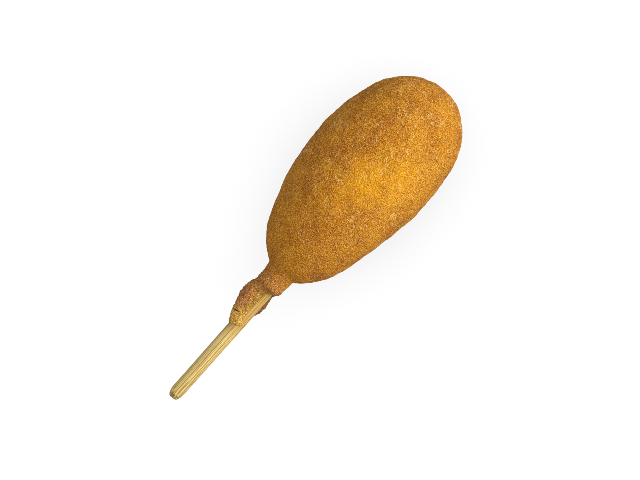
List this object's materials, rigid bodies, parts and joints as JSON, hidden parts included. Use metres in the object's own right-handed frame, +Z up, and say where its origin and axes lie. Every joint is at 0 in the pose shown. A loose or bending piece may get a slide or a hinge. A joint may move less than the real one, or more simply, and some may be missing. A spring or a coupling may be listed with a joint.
{
  "type": "corn dog",
  "caption": "Corn dog on a round wooden stick, lying on its side; golden brown fried batter with a short sleeve of batter on the stick.",
  "frame": {"origin": "on the surface the corn dog rests on, under the middle of its bounding box", "axes": "+X along the stick from its bare end towards the batter's tip, +Y towards the thick side of the sleeve, +Z up from the surface it lies on"},
  "size_m": [0.1516, 0.0482, 0.0455],
  "materials": {
    "batter": "deep-fried corn batter, sandy and matt with a slight sheen of oil",
    "wood": "plain unvarnished straw-coloured wood with fine lengthwise grain"
  },
  "bodies": {
    "root": {"crust": "batter", "stick": "wood"}
  },
  "joints": []
}
